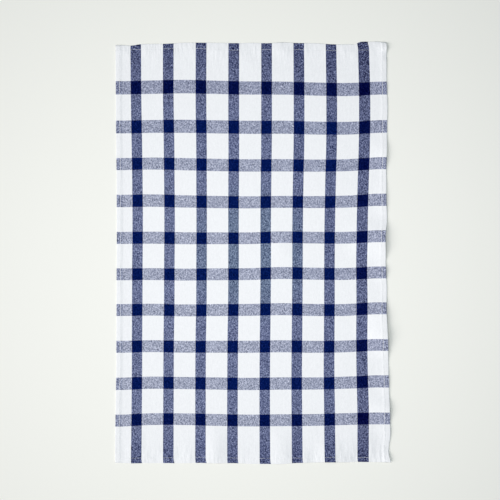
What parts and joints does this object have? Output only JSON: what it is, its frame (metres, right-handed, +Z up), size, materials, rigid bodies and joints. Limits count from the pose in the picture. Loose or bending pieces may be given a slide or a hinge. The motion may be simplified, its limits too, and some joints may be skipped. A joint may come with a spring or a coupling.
{
  "type": "tea towel",
  "caption": "Woven cotton tea towel lying flat and face up, blue and white check, with sewn hems on all four sides and softly lifted edges.",
  "frame": {"origin": "on the surface the towel lies on, under the middle of its outline", "axes": "+X across the towel, +Y along it towards the end shown at the top, +Z up out of its face"},
  "size_m": [0.459, 0.7026, 0.008],
  "materials": {
    "woven_cotton": "matt plain weave"
  },
  "bodies": {
    "root": {"towel_cloth": "woven_cotton"}
  },
  "joints": []
}
